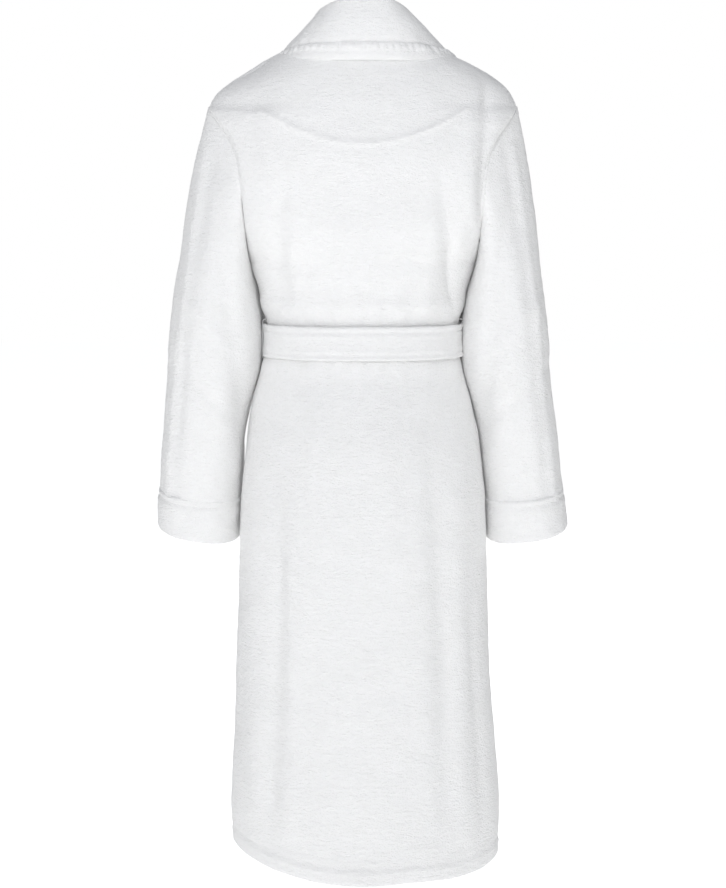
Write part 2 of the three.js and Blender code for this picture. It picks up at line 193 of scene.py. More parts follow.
def noise(points, wavelength, offset=0.0):
    """Smooth random values from -1 to 1, the same on every run. offset picks another pattern."""
    p = points / wavelength + offset
    cell = np.floor(p).astype(int)
    f = p - cell
    f = f * f * (3 - 2 * f)
    total = np.zeros(points.shape[:-1])
    for corner in product((0, 1), repeat=3):
        share = np.prod(np.where(corner, f, 1 - f), axis=-1)
        i = (cell + corner) % LATTICE_SIDE
        total += share * LATTICE[i[..., 0], i[..., 1], i[..., 2]]
    return total


# ---- cloth

NAP = 0.35
# The pile's unevenness: wavelength and share. The inner face takes another pattern.
PILE_SCALES = ((17.0, 1.0), (10.0, 0.8))
INNER_PILE = 9.5


def unit(v):
    return v / np.maximum(np.linalg.norm(v, axis=-1, keepdims=True), 1e-9)


def normals_of(points, wrap=False):
    """Normals of a grid of points. With wrap, its last column is next to its first one."""
    if wrap:
        padded = np.concatenate([points[:, -1:], points, points[:, :1]], axis=1)
        across = padded[:, 2:] - padded[:, :-2]
    else:
        across = np.gradient(points, axis=1)
    down = np.gradient(points, axis=0)
    return unit(np.cross(across, down))


def pile(points, nap, offset):
    """The unevenness of looped pile, a little above and below the cloth."""
    return nap * sum(share * noise(points, size, offset) for size, share in PILE_SCALES)


def outline_of(rows, columns, wrap):
    """The border of a grid: closed loops of (row, column, row inside, column inside, side)."""
    if wrap:
        top = [(0, j, 1, j, "top") for j in range(columns)]
        bottom = [(rows - 1, j, rows - 2, j, "bottom") for j in range(columns)]
        return [top, bottom]
    loop = [(0, j, 1, j, "top") for j in range(columns - 1)]
    loop += [(i, columns - 1, i, columns - 2, "right") for i in range(rows - 1)]
    loop += [(rows - 1, j, rows - 2, j, "bottom") for j in range(columns - 1, 0, -1)]
    loop += [(i, 0, i, 1, "left") for i in range(rows - 1, 0, -1)]
    return [loop]


def vector_attribute(mesh, name, values):
    mesh.attributes.new(name, "FLOAT_VECTOR", "POINT").data.foreach_set("vector", values.ravel())


RIM_STEPS = 3


def shell(name, outer, inner, wrap=False, flat=(), shade=None):
    """One closed piece of cloth between two grids. Its edges are round, but for those in flat.

    shade gives the outer face's own normals, so that two pieces of one cloth meet unseen."""
    rows, columns = outer.shape[:2]
    count = rows * columns
    points = [outer.reshape(-1, 3), inner.reshape(-1, 3)]
    i, j = np.indices((rows - 1, columns if wrap else columns - 1))
    here, following = i * columns + j, i * columns + (j + 1) % columns
    corners = (here, here + columns, following + columns, following)
    a, b, c, d = (corner.ravel() for corner in corners)
    faces = [np.stack([a, d, c, b], 1), np.stack([a, b, c, d], 1) + count]
    start = 2 * count
    for loop in outline_of(rows, columns, wrap):
        r, s, ri, si = (np.array([p[n] for p in loop]) for n in range(4))
        o, n = outer[r, s], inner[r, s]
        middle, half = (o + n) / 2, (o - n) / 2
        away = (outer[r, s] + inner[r, s] - outer[ri, si] - inner[ri, si]) / 2
        thick = np.linalg.norm(half, axis=1, keepdims=True)
        lean = np.sum(away * half, axis=1, keepdims=True) / np.maximum(thick, 1e-9) ** 2
        away = unit(away - half * lean)
        round_it = np.array([[0.0 if p[4] in flat else 1.0] for p in loop])
        size = len(loop)
        rings = [r * columns + s]
        for step in range(1, RIM_STEPS + 1):
            angle = math.pi * step / (RIM_STEPS + 1)
            bulge = away * thick * math.sin(angle) * round_it
            points.append(middle + half * math.cos(angle) + bulge)
            rings.append(start + np.arange(size))
            start += size
        rings.append(count + r * columns + s)
        for near, far in zip(rings, rings[1:]):
            faces.append(np.stack([near, np.roll(near, -1), np.roll(far, -1), far], 1))
    points, faces = np.concatenate(points), np.concatenate(faces)
    mesh = bpy.data.meshes.new(name)
    mesh.from_pydata((points * MM).tolist(), [], faces.tolist())
    vector_attribute(mesh, "grain", points * MM)
    tidy = bmesh.new()
    tidy.from_mesh(mesh)
    bmesh.ops.recalc_face_normals(tidy, faces=tidy.faces)
    tidy.to_mesh(mesh)
    tidy.free()
    mesh.polygons.foreach_set("use_smooth", np.ones(len(mesh.polygons), bool))
    if shade is not None:
        own = np.zeros(3 * len(points), np.float32)
        mesh.vertex_normals.foreach_get("vector", own)
        own = own.reshape(-1, 3)
        sign = np.sign(np.sum(own[:count] * shade.reshape(-1, 3)))
        own[:count] = sign * shade.reshape(-1, 3)
        own[count:2 * count] = -own[:count]
        vector_attribute(mesh, "shade", own)
        mesh.normals_split_custom_set_from_vertices(own.tolist())
    return new_object(name, mesh)


def grid(down, across):
    """Rows and columns of a grid, each from a start to an end with a count."""
    return np.meshgrid(np.linspace(*down), np.linspace(*across), indexing="ij")


def layers(base, thickness, relief=0.0, nap=NAP, wrap=False, facing=None):
    """The outer and inner faces of cloth whose smooth outer face is base, and its normals.

    facing(points) gives a rough direction out of the cloth at each point."""
    normal = normals_of(base, wrap)
    flip = -1 if np.sum(normal * facing(base)) < 0 else 1
    middle = base + flip * normal * np.asarray(relief)[..., None]
    normal = flip * normals_of(middle, wrap)
    outer = middle + normal * pile(middle, nap, 0.0)[..., None]
    inner = middle - normal * (thickness + pile(middle, nap, INNER_PILE))[..., None]
    return outer, inner, flip * normals_of(outer, wrap)


def radial(points):
    """Away from the robe's upright middle line."""
    return points * (1, 1, 0)


def finish_piece(piece, material, slot, node):
    piece.data.materials.append(material)
    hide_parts(node)
    return piece


# ---- materials

def add_node(tree, kind, **settings):
    node = tree.nodes.new(kind)
    for key, value in settings.items():
        setattr(node, key, value)
    return node


def set_inputs(node, values):
    for key, value in values.items():
        node.inputs[key].default_value = value


def grain_vector(tree, stretch):
    """The cloth's resting place in metres, stretched by a factor along each axis."""
    grain = add_node(tree, "ShaderNodeAttribute", attribute_name="grain")
    scaled = add_node(tree, "ShaderNodeVectorMath", operation="MULTIPLY")
    set_inputs(scaled, {1: stretch})
    tree.links.new(grain.outputs["Vector"], scaled.inputs[0])
    return scaled.outputs["Vector"]


def ramp(tree, source, low, high):
    """A colour between two, chosen by a value from 0 to 1."""
    mix = add_node(tree, "ShaderNodeMix", data_type="RGBA")
    set_inputs(mix, {"A": (*low, 1), "B": (*high, 1)})
    tree.links.new(source, mix.inputs["Factor"])
    return mix.outputs["Result"]


def new_material(name):
    material = bpy.data.materials.new(name)
    material.use_nodes = True
    return material, material.node_tree, material.node_tree.nodes["Principled BSDF"]


def bump(tree, height, distance, below=None):
    node = add_node(tree, "ShaderNodeBump")
    set_inputs(node, {"Strength": 1.0, "Distance": distance})
    tree.links.new(height, node.inputs["Height"])
    if below is not None:
        tree.links.new(below, node.inputs["Normal"])
    return node.outputs["Normal"]


LOOPS_PER_METRE = (430, 430, 560)
CLUMPS_PER_METRE = (95, 95, 250)
BLOTCHES_PER_METRE = (22, 22, 34)
LOOP_BUMP, CLUMP_BUMP = 0.0005, 0.0019
LOOP_SHARE = 0.45
BLOTCH_COLOURS = (0.985, 0.985, 0.975), (1, 1, 1)


def cloud(tree, scale, detail, roughness=0.5):
    """Noise over the cloth's grain."""
    node = add_node(tree, "ShaderNodeTexNoise")
    set_inputs(node, {"Scale": 1.0, "Detail": detail, "Roughness": roughness})
    tree.links.new(grain_vector(tree, scale), node.inputs["Vector"])
    return node.outputs["Fac"]


def terry(name, colour, shadow):
    """Cotton terry: rows of short loops, in clumps, with painted shade that colours the low gaps
    between them darker.
    """
    material, tree, shader = new_material(name)
    loops = add_node(tree, "ShaderNodeTexVoronoi", feature="F1")
    set_inputs(loops, {"Scale": 1.0})
    tree.links.new(grain_vector(tree, LOOPS_PER_METRE), loops.inputs["Vector"])
    height = add_node(tree, "ShaderNodeMath", operation="SUBTRACT", use_clamp=True)
    set_inputs(height, {0: 1.0})
    tree.links.new(loops.outputs["Distance"], height.inputs[1])
    clumps = cloud(tree, CLUMPS_PER_METRE, 4.0, 0.6)
    blotches = cloud(tree, BLOTCHES_PER_METRE, 2.0)
    joined = add_node(tree, "ShaderNodeMath", operation="MULTIPLY_ADD")
    set_inputs(joined, {1: LOOP_SHARE})
    tree.links.new(height.outputs[0], joined.inputs[0])
    tree.links.new(clumps, joined.inputs[2])
    # Painted shade: the lower the loops and clumps, the nearer the colour goes to the shadow
    # colour.
    shade = add_node(tree, "ShaderNodeMapRange")
    set_inputs(shade, {"From Min": 0.35, "From Max": 0.95})
    tree.links.new(joined.outputs[0], shade.inputs["Value"])
    tone_with_painted_shade = ramp(tree, shade.outputs["Result"], shadow, colour)
    warm = add_node(tree, "ShaderNodeMix", data_type="RGBA", blend_type="MULTIPLY")
    set_inputs(warm, {"Factor": 1.0})
    tree.links.new(tone_with_painted_shade, warm.inputs["A"])
    tree.links.new(ramp(tree, blotches, *BLOTCH_COLOURS), warm.inputs["B"])
    tree.links.new(warm.outputs["Result"], shader.inputs["Base Color"])
    soft = bump(tree, clumps, CLUMP_BUMP)
    tree.links.new(bump(tree, height.outputs[0], LOOP_BUMP, below=soft), shader.inputs["Normal"])
    set_inputs(shader, {"Roughness": 0.95, "Specular IOR Level": 0.15, "Sheen Weight": 0.12,
                        "Sheen Roughness": 0.5})
    return material


def woven(name, colour, shadow, pitch, roughness, sheen):
    """Plain woven tape or satin, with fine threads both ways, and painted shade darker between
    them.
    """
    material, tree, shader = new_material(name)
    scale = 1 / pitch
    across = add_node(tree, "ShaderNodeTexWave", bands_direction="DIAGONAL")
    down = add_node(tree, "ShaderNodeTexWave", bands_direction="Z")
    for wave, stretch in ((across, (scale, scale, 0)), (down, (0, 0, scale))):
        set_inputs(wave, {"Scale": 0.31, "Distortion": 0.4})
        tree.links.new(grain_vector(tree, stretch), wave.inputs["Vector"])
    threads = add_node(tree, "ShaderNodeMath", operation="MULTIPLY")
    tree.links.new(across.outputs["Fac"], threads.inputs[0])
    tree.links.new(down.outputs["Fac"], threads.inputs[1])
    # Painted shade: the colour goes towards the shadow colour where the threads dip.
    tree.links.new(ramp(tree, threads.outputs[0], shadow, colour), shader.inputs["Base Color"])
    tree.links.new(bump(tree, threads.outputs[0], pitch * 0.3), shader.inputs["Normal"])
    set_inputs(shader, {"Roughness": roughness, "Sheen Weight": sheen, "Specular IOR Level": 0.3})
    return material


# Each material's second colour is painted shade, for the hollows between terry loops and between
# woven threads.
TERRY = terry("terry", (0.915, 0.914, 0.910), (0.875, 0.874, 0.870))
TAPE = woven("tape", (0.86, 0.86, 0.85), (0.76, 0.76, 0.75), 0.0006, 0.8, 0.1)
SATIN = woven("satin_label", (0.84, 0.84, 0.83), (0.78, 0.78, 0.77), 0.0003, 0.4, 0.2)


def cloth_piece(name, node, body, base, thickness, relief=0.0, nap=NAP, wrap=False,
                facing=radial, look=(TERRY, "terry")):
    """A piece of cloth under a smooth outer face, which stands for one node and rides one body."""
    outer, inner, _ = layers(base, thickness, relief, nap, wrap, facing)
    piece = shell(name, outer, inner, wrap)
    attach(finish_piece(piece, *look, node), body)
    return piece


# ---- body surface

CLOTH = 4.0
NECK_Z, TIP_Z, ARMPIT_Z = 8, -75, -290
BELT_TOP, BELT_BOTTOM = -374, -420
BELT_MIDDLE = (BELT_TOP + BELT_BOTTOM) / 2
ELBOW_Z, CUFF_TOP, CUFF_BOTTOM = -430, -624, -674
FLAP_TOP, HEM_Z = -770, -1118
ARMHOLE_MID = (TIP_Z + ARMPIT_Z) / 2
ARMHOLE_HALF_HEIGHT = (TIP_Z - ARMPIT_Z) / 2
ARMHOLE_HALF_DEPTH = 72
ARMHOLE_POINT, ARMHOLE_TOP_POINT = 1.5, 1.4
# The left shoulder is narrower by this much, round one height, than the right one.
LEFT_SLOPE = 9
LEFT_SLOPE_Z, LEFT_SLOPE_SPREAD = -28, 24
WRAP = 48
COLLAR_CLOTH = 5
LAPEL_GAP = 2.6
# How far the right front stands off: over the left one's lapel, and over its plain cloth.
RIGHT_LIFT_HIGH = LAPEL_GAP + COLLAR_CLOTH + LAPEL_GAP + CLOTH
RIGHT_LIFT_LOW = 7.2
RIGHT_ANGLE = math.pi / 2
# The cloth stops this much of a turn short of the side seams, and lies smooth this near to them.
SEAM_INSET = 0.012
SEAM_FADE = 0.10
SEAM_GAP = 0.2

half_width = profile([
    (NECK_Z, 100), (-18, 157), (-41, 193), (-60, 209), (TIP_Z, 215), (-94, 205), (-118, 187),
    (-156, 173), (-227, 165), (ARMPIT_Z, 159), (-335, 145), (-360, 138.5), (-376, 135.5),
    (-400, 134), (-419, 135.5), (-440, 140), (-489, 153), (-560, 166), (-640, 174),
    (FLAP_TOP, 178), (-950, 184), (-1060, 189), (HEM_Z, 186),
])
back_depth = profile([
    (NECK_Z, 60), (-30, 82), (-81, 98), (-156, 108), (-227, 108), (-305, 100), (-366, 89),
    (-434, 91), (-500, 106), (-560, 119), (-640, 126), (-785, 130), (-950, 135), (HEM_Z, 142),
])
front_depth = profile([
    (NECK_Z, 52), (-30, 72), (-81, 85), (-156, 100), (-227, 110), (-305, 105), (-366, 94),
    (-434, 94), (-500, 102), (-560, 109), (-640, 116), (-785, 125), (-950, 134), (HEM_Z, 142),
])
left_edge = profile([
    (NECK_Z, 75), (-60, 70), (-120, 52), (-200, 8), (-300, -34), (-366, -WRAP), (HEM_Z, -WRAP),
])


def armhole_depth(z):
    height = np.clip(np.abs(z - ARMHOLE_MID) / ARMHOLE_HALF_HEIGHT, 0, 1)
    point = np.where(z > ARMHOLE_MID, ARMHOLE_TOP_POINT, ARMHOLE_POINT)
    return ARMHOLE_HALF_DEPTH * (1 - height * height) ** (point / 2)


def on_body(side, turn, z):
    """A point of the outer face. turn is 0 in the middle and a quarter turn at the left seam."""
    depth = back_depth(z) if side == BACK else front_depth(z)
    edge = armhole_depth(z)
    y = side * (edge + (depth - edge) * np.cos(turn))
    slope = LEFT_SLOPE * bell(z - LEFT_SLOPE_Z, LEFT_SLOPE_SPREAD)
    x = half_width(z) * np.sin(turn) - slope * smooth(0.3, 1.0, np.sin(turn))
    return np.stack(np.broadcast_arrays(x, y, z), -1).astype(float)


def off_body(side, turn, z, out):
    """The same point moved out along the cloth's normal, but kept on its own side of the seams."""
    small_turn, small_drop = 0.01, 0.5
    across = on_body(side, turn + small_turn, z) - on_body(side, turn - small_turn, z)
    down = on_body(side, turn, z - small_drop) - on_body(side, turn, z + small_drop)
    normal = unit(np.cross(across, down))
    point = on_body(side, turn, z)
    outward = np.sign(np.sum(normal[..., :2] * point[..., :2], axis=-1, keepdims=True))
    point = point + normal * outward * np.asarray(out)[..., None]
    point[..., 1] = side * np.maximum(side * point[..., 1], SEAM_GAP)
    return point


def turn_at(x, z):
    return np.arcsin(np.clip(x / half_width(z), -1, 1))


def right_lift(x, z):
    """How far the right front stands off the body where it crosses the left one."""
    lift = RIGHT_LIFT_HIGH + (RIGHT_LIFT_LOW - RIGHT_LIFT_HIGH) * smooth(-434, -500, z)
    return lift * smooth(-90, -8, x - left_edge(z)) * smooth(-100, -170, z)


# ---- folds and stitches

def fold(x, z, top, bottom, width, height, wander=4.0):
    """A soft ridge, or a hollow if height is negative, along a line between two (x, z) points."""
    t = (top[1] - z) / (top[1] - bottom[1])
    middle = top[0] + (bottom[0] - top[0]) * t + wander * np.sin(5 * t + top[0])
    fade = smooth(0, 0.25, t) * smooth(1.0, 0.8, t)
    return height * bell(x - middle, width) * fade


# Each fold goes from one (x, z) to another, and has a width and a height.
BACK_FOLDS = [
    ((118, -170), (104, -372), 13, -3.2),
    ((100, -190), (88, -372), 14, 2.4),
    ((-112, -140), (-118, -372), 12, -4.0),
    ((-96, -200), (-92, -372), 15, 2.6),
    ((30, -215), (-6, -372), 22, 1.6),
    ((-40, -240), (-22, -372), 18, -1.4),
    ((116, -560), (128, -1135), 12, -4.4),
    ((96, -520), (102, -1135), 15, 3.2),
    ((150, -520), (152, -1135), 13, 2.8),
    ((-92, -480), (-122, -1135), 14, -3.2),
    ((-70, -480), (-96, -1135), 18, 2.2),
    ((-128, -470), (-146, -1135), 16, 3.6),
    ((-150, -700), (-166, -1135), 8, -2.6),
    ((38, -424), (24, -760), 14, -1.6),
    ((-24, -424), (-52, -900), 20, 1.8),
    ((62, -424), (70, -840), 15, 1.8),
    ((-166, -14), (-169, -250), 9, -4.6),
    ((-146, -40), (-150, -250), 12, 2.4),
    ((-126, -240), (-122, -372), 6, -2.6),
    ((156, -60), (148, -230), 14, -2.0),
    ((150, 20), (150, -90), 34, -5.0),
]
FRONT_FOLDS = [
    ((110, -420), (132, -1135), 14, -4.6),
    ((86, -440), (98, -1135), 17, 3.2),
    ((-112, -420), (-134, -1135), 14, -4.2),
    ((-84, -440), (-100, -1135), 17, 3.0),
    ((20, -430), (34, -1000), 20, -2.0),
    ((118, -180), (108, -372), 13, -3.0),
    ((-118, -180), (-108, -372), 13, -3.0),
]
# The slack above the belt, the pinch under it and the slack below it: height, spread, relief.
BELT_SLACK = [(-352, 15, 4.5), (BELT_MIDDLE, 20, -2.2), (-436, 12, 1.5)]
GATHERS_PER_MM = 9 / 46
# The unevenness of hanging cloth: wavelength, relief, pattern.
DRAPE_ROUGHNESS = [(85, 1.3, 0.0), (38, 0.8, 4.2)]


def drape(points, folds):
    """Folds, the slack round the belt, the small gathers on both sides of it and unevenness."""
    x, z = points[..., 0], points[..., 2]
    relief = sum(fold(x, z, *item) for item in folds)
    relief = relief + sum(height * bell(z - at, spread) for at, spread, height in BELT_SLACK)
    gathers = np.sin(x * GATHERS_PER_MM + 1.3 * np.sin(x / 31)) * bell(x, 130)
    above = bell(z + 366, 26) * smooth(BELT_TOP, -366, z)
    below = bell(z + 424, 34) * smooth(-418, -428, z)
    relief = relief + gathers * (1.5 * above + 1.4 * below)
    rough = sum(height * noise(points, size, kind) for size, height, kind in DRAPE_ROUGHNESS)
    return relief + rough * (1 - 0.8 * bell(z - BELT_MIDDLE, 40))


STITCH_PITCH = 7.0
STITCH_GROOVE = 2.2
LIP_AT, LIP_WIDTH = 5, 3.0


def stitch_row(distance, along, depth=1.5):
    """A sewn line: a narrow groove between two soft lips, puckered along its length."""
    waves = 2 * math.pi * along / STITCH_PITCH + 1.7 * np.sin(along / 23)
    pucker = 0.75 + 0.25 * np.sin(waves)
    lips = 0.55 * (bell(distance - LIP_AT, LIP_WIDTH) + bell(distance + LIP_AT, LIP_WIDTH))
    return depth * (lips * pucker - bell(distance, STITCH_GROOVE))


FACING_LOW = -128
FACING_CURVE = 0.00235


def facing_line(x):
    """The height of the stitches that hold the facing of the neck, lowest in the middle."""
    return FACING_LOW + FACING_CURVE * x * x


HEM_DROP = {BACK: 30, FRONT: 4}
HEM_RIGHT_DROP = 18


def hem_drop(turn, side):
    """How far below the left seam the hem hangs. It is lowest at the back and on the right."""
    right = smooth(0.25, 0.95, -np.sin(turn))
    return HEM_DROP[side] * np.cos(turn) ** 2 + HEM_RIGHT_DROP * right


# ---- back

BODY_ROWS = (NECK_Z, HEM_Z, 283)
BACK_COLUMNS = 124
HEM_TURN_UP = 22
HEM_SEWN = HEM_Z + HEM_TURN_UP
SKIRT_FLARE = 7
HIP_SWAY = 4.5


def hang(base, side, turn):
    """Lengthens the skirt to its hem's curve, flares it on the right and fills the left hip."""
    z = base[..., 2]
    drop = smooth(FLAP_TOP + 100, HEM_Z, z) * hem_drop(turn, side)
    flare = SKIRT_FLARE * smooth(-860, -1040, z) * smooth(0.2, 1.0, -np.sin(turn))
    sway = HIP_SWAY * bell(z + 475, 62) * smooth(0.3, 1.0, np.sin(turn))
    return base + np.stack([sway - flare, 0 * z, -drop], -1)


FACING_RIDGE = 2.9
FACING_PUCKER = 9
FACING_HALF = 150


def facing_ridge(x, z):
    """The ridge that the facing's stitches raise on the back, puckered along its length."""
    sewn = facing_line(x) - z
    pucker = 1 + 0.5 * noise(np.stack([x, sewn / 3, 0 * x], -1), FACING_PUCKER, 3.3)
    ridge = FACING_RIDGE * bell(sewn, 3.0) * pucker - 0.6 * bell(sewn - 6, 2.6)
    return ridge * smooth(FACING_HALF, FACING_HALF - 18, np.abs(x))


def fade_at_seams(relief, turn):
    return relief * smooth(0, SEAM_FADE, RIGHT_ANGLE - np.abs(turn))


def make_back():
    seam = RIGHT_ANGLE - SEAM_INSET
    z, turn = grid(BODY_ROWS, (-seam, seam, BACK_COLUMNS))
    base = hang(on_body(BACK, turn, z), BACK, turn)
    x = base[..., 0]
    relief = drape(base, BACK_FOLDS) + facing_ridge(x, z) + stitch_row(z - HEM_SEWN, x)
    relief = relief + 1.3 * smooth(HEM_SEWN + 4, HEM_SEWN - 6, z)
    relief = fade_at_seams(relief, turn)
    piece = cloth_piece("back_cloth", "back_panel", "robe", base, CLOTH, relief)


# ---- fronts

FRONT_COLUMNS = {LEFT: 72, RIGHT: 92}


def make_front(side):
    z, t = grid(BODY_ROWS, (0, 1, FRONT_COLUMNS[side]))
    seam = side * (RIGHT_ANGLE - SEAM_INSET)
    edge = turn_at(side * left_edge(z), z)
    turn = seam + (edge - seam) * t
    x = half_width(z) * np.sin(turn)
    lift = right_lift(x, z) if side == RIGHT else 0 * x
    base = hang(off_body(FRONT, turn, z, lift), FRONT, turn)
    relief = drape(base, FRONT_FOLDS) + stitch_row(z - HEM_SEWN, x)
    outer, inner, _ = layers(base, CLOTH, fade_at_seams(relief, turn), facing=radial)
    name = SIDES[side]
    piece = shell(f"{name}_front_cloth", outer, inner)
    finish_piece(piece, TERRY, "terry", f"{name}_front")
    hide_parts(f"{name}_front_skirt")
    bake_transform(piece)


# ---- sleeves

SPLIT_Z = -400
SLEEVE_COLUMNS = 116
UPPER_ROWS, LOWER_ROWS = 84, 60
sleeve_outer = {
    LEFT: profile([(SPLIT_Z, 274), (-475, 281), (-531, 285), (-588, 289), (-645, 292),
                   (-690, 292)]),
    RIGHT: profile([(SPLIT_Z, 263), (-475, 270), (-531, 277), (-588, 282), (-645, 289),
                    (-690, 292)]),
}
sleeve_inner = {
    LEFT: profile([(SPLIT_Z, 142.8), (-422, 142.4), (-440, 143.4), (-455, 147), (-466, 150.3),
                   (-489, 157.8), (-516, 162.5), (-560, 168.5), (-630, 175), (-690, 181)]),
    RIGHT: profile([(SPLIT_Z, 139.4), (-422, 139.4), (-440, 141), (-455, 144.8), (-470, 149.2),
                    (-493, 155.5), (-516, 160.5), (-560, 167), (-630, 174.5), (-690, 180)]),
}
sleeve_middle = profile([(SPLIT_Z, -6), (ELBOW_Z, -8), (-540, -20), (-690, -38)])
sleeve_half_depth = profile([(SPLIT_Z, 76), (-540, 75), (-690, 71)])
SQUARENESS = 0.86
# The inner side of a sleeve fills out in front below the armpit, and gives way behind the elbow.
ARMPIT_SWELL = 9
INNER_FRONT_SWELL = 12
ELBOW_BACK_EASE = 6


def squared(value):
    return np.sign(value) * np.abs(value) ** SQUARENESS


def inner_side(angle):
    """1 on the side of a sleeve that faces the body, and 0 on the outer one."""
    return smooth(0.1, 0.8, -np.cos(angle))


def sleeve_ring(side, angle, z):
    """A level ring of a sleeve: angle 0 is its outer side, a quarter turn its back."""
    inside = inner_side(angle)
    outer, inner = sleeve_outer[side](z), sleeve_inner[side](z)
    x = (outer + inner) / 2 + (outer - inner) / 2 * squared(np.cos(angle))
    y = sleeve_middle(z) + sleeve_half_depth(z) * squared(np.sin(angle))
    x = x - INNER_FRONT_SWELL * bell(y + 54, 25) * inside * smooth(-570, -400, z)
    x = x + ELBOW_BACK_EASE * smooth(0, 42, y) * inside * bell(z + 452, 60)
    return np.stack(np.broadcast_arrays(side * x, y, z), -1).astype(float)


# A sleeve's head stands out this far at the shoulder's tip, and sets off outwards by this slope.
SLEEVE_HEAD = 1.8
SLEEVE_LEAN = {LEFT: 0.11, RIGHT: 0.08}


def armhole_ring(side, angle):
    z = ARMHOLE_MID + ARMHOLE_HALF_HEIGHT * np.cos(angle)
    y = np.sign(np.sin(angle)) * armhole_depth(z)
    return np.stack([side * (half_width(z) + SLEEVE_HEAD * bell(z - TIP_Z, 18)), y, z], -1)


def upper_part(side, angles):
    """The sleeve from the armhole to the split. Each of its lines curves from ring to ring."""
    top = armhole_ring(side, angles)
    bottom, below = (sleeve_ring(side, angles, z + 0 * angles) for z in (SPLIT_Z, SPLIT_Z - 10))
    chord = bottom - top
    reach = np.linalg.norm(chord, axis=-1, keepdims=True)
    lean = SLEEVE_LEAN[side] * np.maximum(0, np.cos(angles))
    start = unit(chord) + np.stack([side * lean, 0 * angles, 0 * angles], -1)
    t = np.linspace(0, 1, UPPER_ROWS)[:, None, None]
    points = hermite(t, top, start * reach, bottom, unit(below - bottom) * reach)
    swell = ARMPIT_SWELL * bell(points[..., 2] + 335, 38) * bell(points[..., 1] + 38, 30)
    points[..., 0] -= side * swell * inner_side(angles)
    return points


# How much lower a cuff's edges run on their inner side, and at their back.
CUFF_TOP_SLANT = 7, 6
CUFF_BOTTOM_SLANT = 9, 9


def cuff_line(angle, height, tilt, dip):
    return height + tilt * np.cos(angle) - dip * np.sin(angle)


SLEEVE_FOLDS = [
    ((196, -190), (168, -600), 11, -3.4),
    ((214, -230), (196, -610), 15, 2.8),
    ((246, -160), (268, -600), 12, -2.2),
    ((262, -330), (160, -430), 12, 2.0),
    ((270, -420), (176, -520), 14, -2.0),
]


CREASE_INSET, CREASE_SLOPE = 15, 0.145


def sleeve_relief(points, side, t):
    """Folds, the crease down the outer edge, and unevenness. t is 0 at the armhole."""
    x, z = side * points[..., 0], points[..., 2]
    relief = sum(fold(x, z, *item) for item in SLEEVE_FOLDS)
    outer = sleeve_outer[side](np.minimum(z, SPLIT_Z))
    crease = x - (outer - CREASE_SLOPE * np.maximum(0, z - SPLIT_Z) - CREASE_INSET)
    crease = 1.6 * bell(crease, 5) - 1.5 * bell(crease + 12, 8)
    relief = relief + crease * smooth(-110, -160, z)
    relief = relief + 1.6 * noise(points, 95, 3.0 * side) + 1.0 * noise(points, 42, 1.7)
    return relief * smooth(0, 0.06, t)


def cut(piece, point, normal):
    """Splits a closed piece with a plane. The part on the normal's side is the second piece."""
    second = piece.copy()
    second.data = piece.data.copy()
    bpy.context.scene.collection.objects.link(second)
    for part, sign in ((piece, 1), (second, -1)):
        work = bmesh.new()
        work.from_mesh(part.data)
        everything = work.verts[:] + work.edges[:] + work.faces[:]
        bmesh.ops.bisect_plane(work, geom=everything, plane_co=point,
                               plane_no=sign * Vector(normal), dist=1e-7, clear_outer=True)
        rim = [edge for edge in work.edges if edge.is_boundary]
        bmesh.ops.holes_fill(work, edges=rim)
        bmesh.ops.triangulate(work, faces=[face for face in work.faces if len(face.verts) > 4])
        work.to_mesh(part.data)
        work.free()
        shade = np.zeros(3 * len(part.data.vertices), np.float32)
        part.data.attributes["shade"].data.foreach_get("vector", shade)
        part.data.normals_split_custom_set_from_vertices(shade.reshape(-1, 3).tolist())
    return piece, second


# Two ramps where a sleeve's cloth leaves the body: over the shoulder and under the arm.
# Each goes along a way, from a start over a reach. The upper sleeve is cut in two on the plane
# where they meet.
OVER_WAY, OVER_START, OVER_REACH = np.array([0.943, 0, -0.335]), 251, 45
UNDER_WAY, UNDER_START, UNDER_REACH = np.array([0.25, 0, -0.968]), 323, 94
SLEEVE_CENTRE = np.array([205, -10, 0])


def away_from(centre, side):
    """Level directions away from an upright line through a centre on one side."""
    return lambda points: (points - centre * (side, 1, 1)) * (1, 1, 0)


